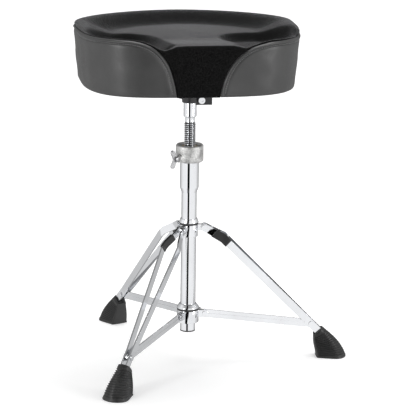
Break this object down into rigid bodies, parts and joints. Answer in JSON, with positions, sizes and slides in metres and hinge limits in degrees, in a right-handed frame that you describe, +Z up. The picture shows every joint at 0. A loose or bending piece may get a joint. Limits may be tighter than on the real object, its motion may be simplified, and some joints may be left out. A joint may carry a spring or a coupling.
{
  "type": "drum throne",
  "caption": "Drummer's seat: a saddle cushion on a screw spindle and chromed column, with folding double-bar legs on rubber feet.",
  "frame": {"origin": "the point of the floor under the column's axis", "axes": "+Z up the column; leg 1 points 3.3 degrees from +X towards +Y; the seat's nose points 8 degrees from -Y towards +X"},
  "size_m": [0.545, 0.5613, 0.665],
  "materials": {
    "chrome": "polished",
    "cast_grey": "satin",
    "steel": "satin",
    "brass": "satin",
    "black_rubber": "matte",
    "black_nylon": "matte",
    "black_steel": "satin",
    "velour": "matte",
    "vinyl": "satin",
    "foam": "matte",
    "plywood": "matte",
    "dust_cloth": "matte"
  },
  "bodies": {
    "column": {"column_tube": "chrome", "tube_end_cap": "black_nylon", "height_collar": "cast_grey", "thread_insert": "brass", "upper_hub": "chrome", "upper_hub_ring": "black_nylon", "upper_hub_cap": "chrome", "upper_set_screw": "steel"},
    "collar_bolt": {"collar_wing_bolt": "chrome"},
    "guide": {"spindle_guide": "black_nylon", "guide_screw": "steel"},
    "seat": {"spindle": "chrome", "seat_top_cover": "velour", "seat_left_panel": "vinyl", "seat_right_panel": "vinyl", "seat_foam": "foam", "seat_board": "plywood", "seat_dust_cover": "dust_cloth", "tee_nuts": "steel", "bracket_screws": "steel", "bracket_plate": "black_steel", "clamp_sleeve": "black_steel", "clamp_bolt": "chrome", "clamp_nut": "chrome"},
    "lower_hub": {"lower_hub": "chrome", "lower_hub_bush": "black_nylon", "lower_hub_cap": "chrome", "leg1_hub_rivet": "chrome", "leg2_hub_rivet": "chrome", "leg3_hub_rivet": "chrome"},
    "hub_bolt": {"lower_wing_bolt": "chrome"},
    "leg_1": {"leg1_left_bar": "chrome", "leg1_right_bar": "chrome", "leg1_sleeve": "black_rubber", "leg1_foot": "black_rubber", "leg1_hip_rivet": "chrome", "leg1_brace_rivet": "chrome"},
    "brace_1": {"leg1_brace_bar": "chrome", "leg1_brace_pin": "chrome"},
    "leg_2": {"leg2_left_bar": "chrome", "leg2_right_bar": "chrome", "leg2_sleeve": "black_rubber", "leg2_foot": "black_rubber", "leg2_hip_rivet": "chrome", "leg2_brace_rivet": "chrome"},
    "brace_2": {"leg2_brace_bar": "chrome", "leg2_brace_pin": "chrome"},
    "leg_3": {"leg3_left_bar": "chrome", "leg3_right_bar": "chrome", "leg3_sleeve": "black_rubber", "leg3_foot": "black_rubber", "leg3_hip_rivet": "chrome", "leg3_brace_rivet": "chrome"},
    "brace_3": {"leg3_brace_bar": "chrome", "leg3_brace_pin": "chrome"}
  },
  "joints": [
    {"name": "lower_hub_slide", "type": "slide", "parent": "column", "child": "lower_hub", "axis": [0, 0, 1], "range_m": [0, 0.09739]},
    {"name": "seat_height", "type": "slide", "parent": "column", "child": "guide", "axis": [0, 0, 1], "range_m": [-0.0401, 0.1101]},
    {"name": "seat_spin", "type": "hinge", "parent": "guide", "child": "seat", "pos_m": [0, 0, 0.5], "axis": [0, 0, 1], "range_deg": [-3600, 9900]},
    {"name": "collar_bolt_turn", "type": "hinge", "parent": "column", "child": "collar_bolt", "pos_m": [0, 0, 0.4076], "axis": [-0.7071, -0.7071, 0], "range_deg": [0, 360]},
    {"name": "hub_bolt_turn", "type": "hinge", "parent": "lower_hub", "child": "hub_bolt", "pos_m": [0, 0, 0.0888], "axis": [0.6561, 0.7547, 0], "range_deg": [0, 360]},
    {"name": "leg_1_fold", "type": "hinge", "parent": "column", "child": "leg_1", "pos_m": [0.03095, 0.00178, 0.2657], "axis": [-0.0576, 0.9983, 0], "range_deg": [0, 43.01]},
    {"name": "brace_1_fold", "type": "hinge", "parent": "lower_hub", "child": "brace_1", "pos_m": [0.03295, 0.0019, 0.0898], "axis": [-0.0576, 0.9983, 0], "range_deg": [0, 78.62]},
    {"name": "leg_2_fold", "type": "hinge", "parent": "column", "child": "leg_2", "pos_m": [-0.01702, 0.02591, 0.2657], "axis": [-0.8358, -0.549, 0], "range_deg": [0, 43.01]},
    {"name": "brace_2_fold", "type": "hinge", "parent": "lower_hub", "child": "brace_2", "pos_m": [-0.01812, 0.02758, 0.0898], "axis": [-0.8358, -0.549, 0], "range_deg": [0, 78.62]},
    {"name": "leg_3_fold", "type": "hinge", "parent": "column", "child": "leg_3", "pos_m": [-0.01393, -0.02769, 0.2657], "axis": [0.8934, -0.4493, 0], "range_deg": [0, 43.01]},
    {"name": "brace_3_fold", "type": "hinge", "parent": "lower_hub", "child": "brace_3", "pos_m": [-0.01483, -0.02948, 0.0898], "axis": [0.8934, -0.4493, 0], "range_deg": [0, 78.62]}
  ],
  "couplings": [
    {"joint": "seat_height", "follows": "seat_spin", "m_per_rad": 0.00063662},
    {"joint": "leg_1_fold", "follows": "lower_hub_slide", "rad_per_m": 7.7057},
    {"joint": "brace_1_fold", "follows": "lower_hub_slide", "rad_per_m": 14.087},
    {"joint": "leg_2_fold", "follows": "lower_hub_slide", "rad_per_m": 7.7057},
    {"joint": "brace_2_fold", "follows": "lower_hub_slide", "rad_per_m": 14.087},
    {"joint": "leg_3_fold", "follows": "lower_hub_slide", "rad_per_m": 7.7057},
    {"joint": "brace_3_fold", "follows": "lower_hub_slide", "rad_per_m": 14.087}
  ]
}
